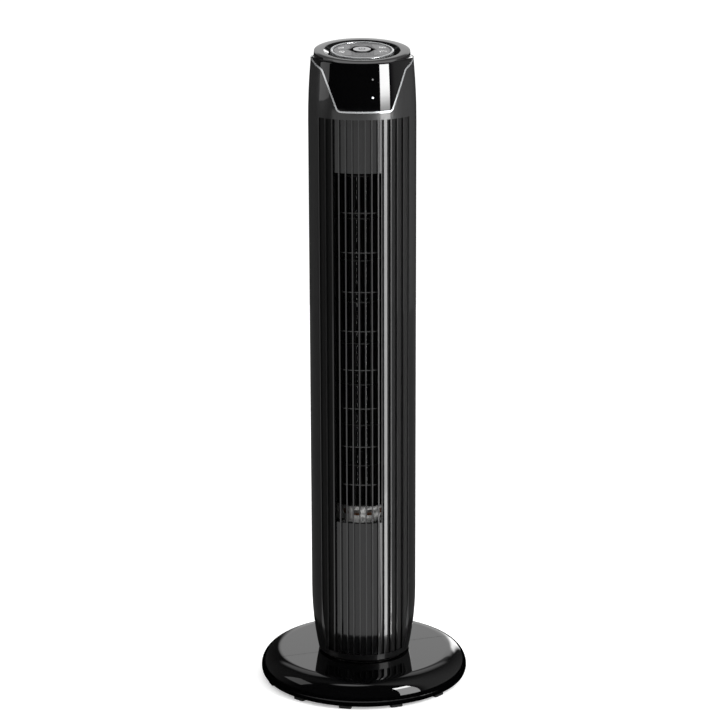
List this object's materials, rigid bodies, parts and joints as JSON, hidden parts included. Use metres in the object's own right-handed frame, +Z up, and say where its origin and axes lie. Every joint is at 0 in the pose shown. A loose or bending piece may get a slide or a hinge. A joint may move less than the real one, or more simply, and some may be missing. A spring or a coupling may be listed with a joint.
{
  "type": "tower fan",
  "caption": "Round tower fan with an upright louvred grille, cross-flow impeller, tilted control panel and a disc base it swings on.",
  "frame": {"origin": "centre of the round base, on the surface the fan stands on", "axes": "+Z up along the tower, air outlet and display towards -Y"},
  "size_m": [0.3, 0.3, 0.9231],
  "materials": {
    "gloss_black": "piano-black gloss moulding",
    "satin_black": "dark satin-gloss moulding",
    "inner_black": "plain black inner moulding",
    "silver": "bright silver trim",
    "panel_silver": "satin silver panel",
    "rubber": "soft black rubber",
    "steel": "zinc-plated steel",
    "motor_case": "zinc-plated pressed bell",
    "core_steel": "laminated core",
    "bronze": "sintered bronze",
    "copper": "enamelled copper",
    "acetal": "white acetal",
    "board_green": "glass-fibre circuit board",
    "component_black": "moulded components",
    "led_clear": "clear indicator lens"
  },
  "bodies": {
    "base": {"base_front_shell": "gloss_black", "base_rear_shell": "gloss_black", "base_feet": "rubber", "swivel_seat": "inner_black", "base_screws": "steel", "cord_gland": "rubber", "glide_ring": "acetal", "retainer_washer": "steel", "retainer_clip": "steel", "link_post": "steel"},
    "tower": {"bottom_plate": "inner_black", "swing_motor": "motor_case", "swing_motor_screws": "steel", "rear_housing": "satin_black", "front_grille": "satin_black", "outlet_liner": "gloss_black", "housing_screws": "steel", "scroll_wall": "inner_black", "vortex_tongue": "inner_black", "motor_plate": "inner_black", "duct_top_plate": "inner_black", "top_bearing_bush": "bronze", "bush_retainer": "steel", "motor_upper_bell": "motor_case", "motor_lower_bell": "motor_case", "motor_bushes": "bronze", "motor_stator": "core_steel", "motor_windings": "copper", "motor_screws": "steel", "run_capacitor": "component_black", "top_cap": "gloss_black", "cap_screws": "steel", "trim_band": "silver", "panel_ring": "silver", "panel_plate": "panel_silver", "button_well": "gloss_black", "control_board": "board_green", "tact_switches": "component_black", "board_components": "component_black", "display_board": "board_green", "indicator_leds": "led_clear", "indicator_windows": "led_clear", "ir_receiver": "component_black", "wiring_loom": "rubber"},
    "impeller": {"impeller": "inner_black", "impeller_hub": "rubber", "hub_set_screw": "steel", "top_stub_axle": "steel", "motor_rotor": "core_steel", "motor_shaft": "steel"},
    "crank": {"swing_crank": "acetal"},
    "link": {"swing_link": "steel"},
    "power_button": {"power_button": "silver"},
    "speed_button": {"speed_button": "panel_silver"},
    "timer_button": {"timer_button": "panel_silver"},
    "mode_button": {"mode_button": "panel_silver"},
    "swing_button": {"swing_button": "panel_silver"}
  },
  "joints": [
    {"name": "oscillation", "type": "hinge", "parent": "base", "child": "tower", "pos_m": [0, 0, 0.05], "axis": [0, 0, 1], "range_deg": [-19, 51]},
    {"name": "impeller_spin", "type": "hinge", "parent": "tower", "child": "impeller", "pos_m": [-0.002, 0.005, 0.5], "axis": [0, 0, 1], "continuous": true},
    {"name": "crank_turn", "type": "hinge", "parent": "tower", "child": "crank", "pos_m": [0, 0.036, 0.038], "axis": [0, 0, 1], "range_deg": [-49, 132]},
    {"name": "link_turn", "type": "hinge", "parent": "crank", "child": "link", "pos_m": [-0.01145, 0.03709, 0.033], "axis": [0, 0, 1], "range_deg": [-132, 49]},
    {"name": "power_press", "type": "slide", "parent": "tower", "child": "power_button", "axis": [0, 0.1392, -0.9903], "range_m": [0, 0.001], "stiffness_N_per_m": 300},
    {"name": "speed_press", "type": "slide", "parent": "tower", "child": "speed_button", "axis": [0, 0.1392, -0.9903], "range_m": [0, 0.001], "stiffness_N_per_m": 300},
    {"name": "timer_press", "type": "slide", "parent": "tower", "child": "timer_button", "axis": [0, 0.1392, -0.9903], "range_m": [0, 0.001], "stiffness_N_per_m": 300},
    {"name": "mode_press", "type": "slide", "parent": "tower", "child": "mode_button", "axis": [0, 0.1392, -0.9903], "range_m": [0, 0.001], "stiffness_N_per_m": 300},
    {"name": "swing_press", "type": "slide", "parent": "tower", "child": "swing_button", "axis": [0, 0.1392, -0.9903], "range_m": [0, 0.001], "stiffness_N_per_m": 300}
  ],
  "couplings": [
    {"joint": "crank_turn", "follows": "oscillation", "ratio": 2.5714},
    {"joint": "link_turn", "follows": "oscillation", "ratio": -2.5714}
  ]
}
